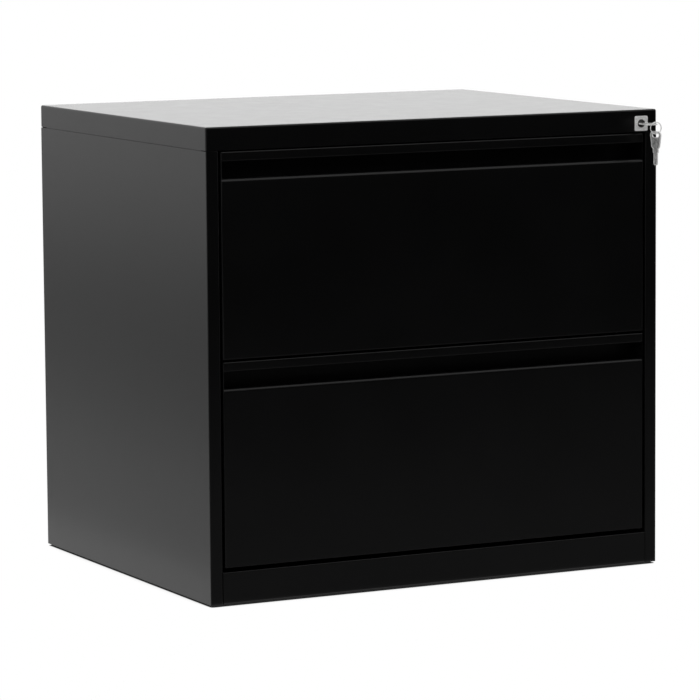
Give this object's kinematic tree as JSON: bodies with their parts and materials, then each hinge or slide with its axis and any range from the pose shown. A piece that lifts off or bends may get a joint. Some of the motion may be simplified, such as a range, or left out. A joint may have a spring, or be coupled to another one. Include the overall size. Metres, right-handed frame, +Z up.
{
  "type": "lateral filing cabinet",
  "caption": "Low sheet-steel filing cabinet with full-width recessed pulls, telescopic drawers for hanging files and a cam lock with its keys.",
  "frame": {"origin": "on the floor, under the middle of the cabinet's box, keys included", "axes": "+X to the right seen from the front, +Y to the back, +Z up; drawers open towards -Y"},
  "size_m": [0.768, 0.6626, 0.711],
  "materials": {
    "black_coat": "black satin powder coat with a faint orange peel",
    "zinc_steel": "zinc plated",
    "bright_steel": "dull nickel plate",
    "dark_steel": "dark turned",
    "foot_plastic": "moulded"
  },
  "bodies": {
    "case": {"side_panel_left": "black_coat", "side_panel_right": "black_coat", "top_cap": "black_coat", "back_panel": "black_coat", "bottom_panel": "black_coat", "plinth_rail": "black_coat", "top_front_rail": "black_coat", "front_upright_left": "zinc_steel", "front_upright_right": "zinc_steel", "rear_upright_left": "zinc_steel", "rear_upright_right": "zinc_steel", "foot_front_left": "foot_plastic", "foot_front_right": "foot_plastic", "foot_rear_left": "foot_plastic", "foot_rear_right": "foot_plastic", "lock_plate": "bright_steel", "lock_barrel": "bright_steel", "lock_nut": "zinc_steel", "bar_guide_lower": "zinc_steel", "bar_guide_upper": "zinc_steel", "upper_slide_outer_left": "zinc_steel", "upper_slide_outer_right": "zinc_steel", "lower_slide_outer_left": "zinc_steel", "lower_slide_outer_right": "zinc_steel"},
    "upper_drawer": {"upper_drawer_front": "black_coat", "upper_pull_strip": "black_coat", "upper_pull_floor": "black_coat", "upper_drawer_liner": "black_coat", "upper_drawer_tray": "black_coat", "upper_drawer_back": "black_coat", "upper_hanging_rail_left": "zinc_steel", "upper_hanging_rail_right": "zinc_steel", "upper_hanging_rail_centre": "zinc_steel", "upper_lock_catch": "zinc_steel", "upper_slide_inner_left": "zinc_steel", "upper_slide_inner_right": "zinc_steel"},
    "upper_runners": {"upper_slide_middle_left": "zinc_steel", "upper_slide_middle_right": "zinc_steel"},
    "lower_drawer": {"lower_drawer_front": "black_coat", "lower_pull_strip": "black_coat", "lower_pull_floor": "black_coat", "lower_drawer_liner": "black_coat", "lower_drawer_tray": "black_coat", "lower_drawer_back": "black_coat", "lower_hanging_rail_left": "zinc_steel", "lower_hanging_rail_right": "zinc_steel", "lower_hanging_rail_centre": "zinc_steel", "lower_lock_catch": "zinc_steel", "lower_slide_inner_left": "zinc_steel", "lower_slide_inner_right": "zinc_steel"},
    "lower_runners": {"lower_slide_middle_left": "zinc_steel", "lower_slide_middle_right": "zinc_steel"},
    "lock_plug": {"lock_plug": "dark_steel", "lock_cam": "zinc_steel", "cam_screw": "zinc_steel"},
    "lock_bar": {"lock_bar": "zinc_steel"},
    "inserted_key": {"inserted_key": "bright_steel"},
    "key_ring": {"key_ring": "bright_steel"},
    "spare_key": {"spare_key": "bright_steel"}
  },
  "joints": [
    {"name": "upper_drawer_slide", "type": "slide", "parent": "case", "child": "upper_drawer", "axis": [0, -1, 0], "range_m": [0, 0.52]},
    {"name": "upper_runner_slide", "type": "slide", "parent": "case", "child": "upper_runners", "axis": [0, -1, 0], "range_m": [0, 0.26]},
    {"name": "lower_drawer_slide", "type": "slide", "parent": "case", "child": "lower_drawer", "axis": [0, -1, 0], "range_m": [0, 0.52]},
    {"name": "lower_runner_slide", "type": "slide", "parent": "case", "child": "lower_runners", "axis": [0, -1, 0], "range_m": [0, 0.26]},
    {"name": "lock_turn", "type": "hinge", "parent": "case", "child": "lock_plug", "pos_m": [0.3553, -0.29073, 0.6896], "axis": [0, 1, 0], "range_deg": [0, 90]},
    {"name": "lock_bar_slide", "type": "slide", "parent": "case", "child": "lock_bar", "axis": [0, 0, -1], "range_m": [0, 0.0198]},
    {"name": "key_withdraw", "type": "slide", "parent": "lock_plug", "child": "inserted_key", "axis": [0, -1, 0], "range_m": [0, 0.03]},
    {"name": "key_ring_swing", "type": "hinge", "parent": "inserted_key", "child": "key_ring", "pos_m": [0.3643, -0.32033, 0.6896], "axis": [0, 1, 0], "range_deg": [-90, 0]},
    {"name": "spare_key_swing", "type": "hinge", "parent": "key_ring", "child": "spare_key", "pos_m": [0.3643, -0.32033, 0.6747], "axis": [-0.993, 0.1184, 0], "range_deg": [-25, 80]}
  ],
  "couplings": [
    {"joint": "upper_runner_slide", "follows": "upper_drawer_slide", "ratio": 0.5},
    {"joint": "lower_runner_slide", "follows": "lower_drawer_slide", "ratio": 0.5},
    {"joint": "lock_turn", "follows": "lock_bar_slide", "rad_per_m": 79.337},
    {"joint": "key_ring_swing", "follows": "lock_bar_slide", "rad_per_m": -79.337}
  ]
}
